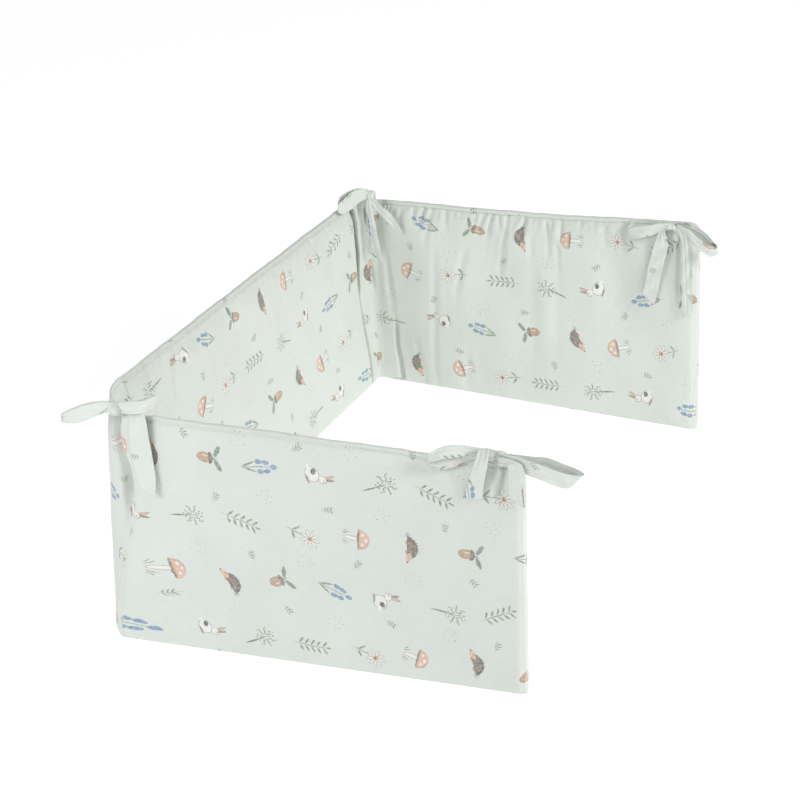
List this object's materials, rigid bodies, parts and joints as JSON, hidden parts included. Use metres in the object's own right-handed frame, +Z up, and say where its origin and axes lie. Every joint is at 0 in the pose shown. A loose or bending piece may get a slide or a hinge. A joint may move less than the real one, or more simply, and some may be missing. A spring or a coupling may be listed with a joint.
{
  "type": "crib bumper",
  "caption": "Padded cotton crib bumper standing on its long edge in a U, with cotton ties tied in bows along its top.",
  "frame": {"origin": "centre of the whole piece's box, on the floor that it stands on", "axes": "+X towards the open side of the U, where the two free ends are; +Y from the front run to the back run; +Z up"},
  "size_m": [0.647, 0.754, 0.3289],
  "materials": {
    "printed_cotton": "matte woven cotton, pale mint with a small printed design",
    "tie_cotton": "matte woven cotton, pale mint with a small printed design"
  },
  "bodies": {
    "root": {"padded_band": "printed_cotton", "tie_front_bend": "tie_cotton", "tie_front_end": "tie_cotton", "tie_back_bend": "tie_cotton", "tie_back_end": "tie_cotton"}
  },
  "joints": []
}
